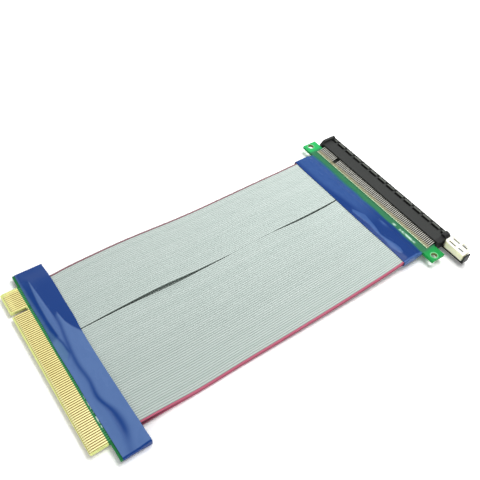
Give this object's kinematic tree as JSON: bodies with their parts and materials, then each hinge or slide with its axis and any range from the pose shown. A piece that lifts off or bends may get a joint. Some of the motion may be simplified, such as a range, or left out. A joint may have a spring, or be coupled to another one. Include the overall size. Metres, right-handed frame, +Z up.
{
  "type": "expansion slot extension cable",
  "caption": "Flat ribbon extension cable with a card-edge plug board at one end and a keyed expansion slot with a swinging latch on a holed board at the other.",
  "frame": {"origin": "centre of the bounding box, on the surface that the cable lies on", "axes": "+X from the plug tongue to the slot mouth, +Y towards the keyed end of the contact rows, +Z up"},
  "size_m": [0.199, 0.107, 0.008],
  "materials": {
    "board_green": "solder mask",
    "finger_gold": "gold plate",
    "tinned_copper": "tinned",
    "tape_blue": "glossy film",
    "ribbon_grey": "satin",
    "slot_black": "moulded",
    "latch_ivory": "moulded",
    "pin_steel": "drawn"
  },
  "bodies": {
    "cable": {"plug_board": "board_green", "plug_contacts_upper": "finger_gold", "plug_contacts_lower": "finger_gold", "plug_wire_ends_upper": "tinned_copper", "plug_wire_ends_lower": "tinned_copper", "plug_tape": "tape_blue", "ribbon_upper_narrow": "ribbon_grey", "ribbon_lower_narrow": "ribbon_grey", "ribbon_upper_wide": "ribbon_grey", "ribbon_lower_wide": "ribbon_grey", "socket_board": "board_green", "socket_tracks_upper": "tinned_copper", "socket_tracks_lower": "tinned_copper", "socket_wire_ends_upper": "tinned_copper", "socket_wire_ends_lower": "tinned_copper", "socket_tape": "tape_blue", "slot_housing": "slot_black", "slot_contacts_upper": "tinned_copper", "slot_contacts_lower": "tinned_copper", "latch_pin": "pin_steel"},
    "latch": {"latch": "latch_ivory"}
  },
  "joints": [
    {"name": "latch_swing", "type": "hinge", "parent": "cable", "child": "latch", "pos_m": [0.0949, -0.04303, 0.00535], "axis": [0, 0, -1], "range_deg": [0, 20]}
  ]
}
